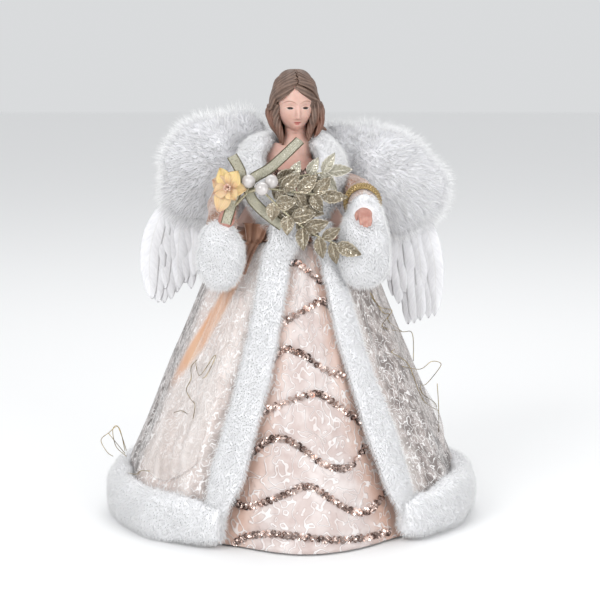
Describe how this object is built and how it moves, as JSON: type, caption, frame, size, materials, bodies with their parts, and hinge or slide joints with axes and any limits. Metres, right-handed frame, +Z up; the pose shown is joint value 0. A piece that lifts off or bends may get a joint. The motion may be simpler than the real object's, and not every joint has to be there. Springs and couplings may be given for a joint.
{
  "type": "angel figurine",
  "caption": "Winged angel figurine in a fur-trimmed coat, holding a leaf and pearl spray; it stands on a hollow cone.",
  "frame": {"origin": "centre of the footprint, on the surface that the figurine stands on", "axes": "+Z up, the angel faces -Y, +X to the angel's left"},
  "size_m": [0.2487, 0.2463, 0.3011],
  "materials": {
    "board": "raw moulded board",
    "dowel": "plain dowel",
    "wadding": "loose polyester wadding",
    "blush_satin": "blush satin with white meander embroidery",
    "brocade": "pale pink brocade with silver-grey scrolls",
    "copper_satin": "copper satin",
    "fur": "white plush faux fur",
    "skin": "painted resin",
    "hair_paint": "brown painted resin",
    "feather": "white feather",
    "rose_gold": "rose-gold metallised film",
    "wire": "plain wire",
    "glitter_leaf": "champagne glitter",
    "ribbon": "pale green-gold metallic ribbon",
    "petal_silk": "yellow to apricot silk",
    "pearl": "pearlescent coating",
    "sheer": "sheer organza with gold thread"
  },
  "bodies": {
    "root": {"inner_cone": "board", "neck_post": "dowel", "skirt_wadding": "wadding", "bodice": "blush_satin", "head": "skin", "hair": "hair_paint", "neckline_frill": "rose_gold", "underskirt": "blush_satin", "sequin_row_1": "rose_gold", "sequin_row_2": "rose_gold", "sequin_row_3": "rose_gold", "sequin_row_4": "rose_gold", "sequin_row_5": "rose_gold", "sequin_row_6": "rose_gold", "sequin_row_7": "rose_gold", "coat_right_panel": "brocade", "coat_left_panel": "brocade", "coat_back_panel": "brocade", "fur_front_right": "fur", "fur_front_left": "fur", "fur_hem": "fur", "fur_collar": "fur", "waist_sash": "copper_satin", "wing_mount": "board", "wing_pin_right": "wire", "wing_pin_left": "wire", "scarf_right": "sheer", "scarf_left": "sheer"},
    "right_wing": {"wing_backing_right": "board", "wing_down_right": "feather", "feather_right_1": "feather", "feather_right_2": "feather", "feather_right_3": "feather", "feather_right_4": "feather"},
    "left_wing": {"wing_backing_left": "board", "wing_down_left": "feather", "feather_left_1": "feather", "feather_left_2": "feather", "feather_left_3": "feather", "feather_left_4": "feather"},
    "right_arm": {"arm_wire_right": "wire", "hand_right": "skin", "sleeve_right": "brocade", "cuff_right": "fur", "flower": "petal_silk", "pearl_1": "pearl", "pearl_2": "pearl", "pearl_3": "pearl", "pick_stem": "wire", "leaf_spray_1": "glitter_leaf", "leaf_spray_2": "glitter_leaf", "leaf_spray_3": "glitter_leaf", "ribbon_long": "ribbon", "ribbon_short": "ribbon"},
    "left_arm": {"arm_wire_left": "wire", "hand_left": "skin", "sleeve_left": "brocade", "cuff_left": "fur", "cuff_braid_left": "rose_gold"}
  },
  "joints": [
    {"name": "right_wing_hinge", "type": "hinge", "parent": "root", "child": "right_wing", "pos_m": [-0.012, 0.034, 0.225], "axis": [0, 0, -1], "range_deg": [-5, 25]},
    {"name": "left_wing_hinge", "type": "hinge", "parent": "root", "child": "left_wing", "pos_m": [0.012, 0.034, 0.225], "axis": [0, 0, 1], "range_deg": [-5, 25]},
    {"name": "right_shoulder", "type": "hinge", "parent": "root", "child": "right_arm", "pos_m": [-0.0353, 0.002, 0.223], "axis": [-1, 0, 0], "range_deg": [0, 15]},
    {"name": "left_shoulder", "type": "hinge", "parent": "root", "child": "left_arm", "pos_m": [0.0353, 0.002, 0.223], "axis": [-1, 0, 0], "range_deg": [0, 15]}
  ],
  "couplings": [
    {"joint": "left_shoulder", "follows": "right_shoulder", "ratio": 1}
  ]
}
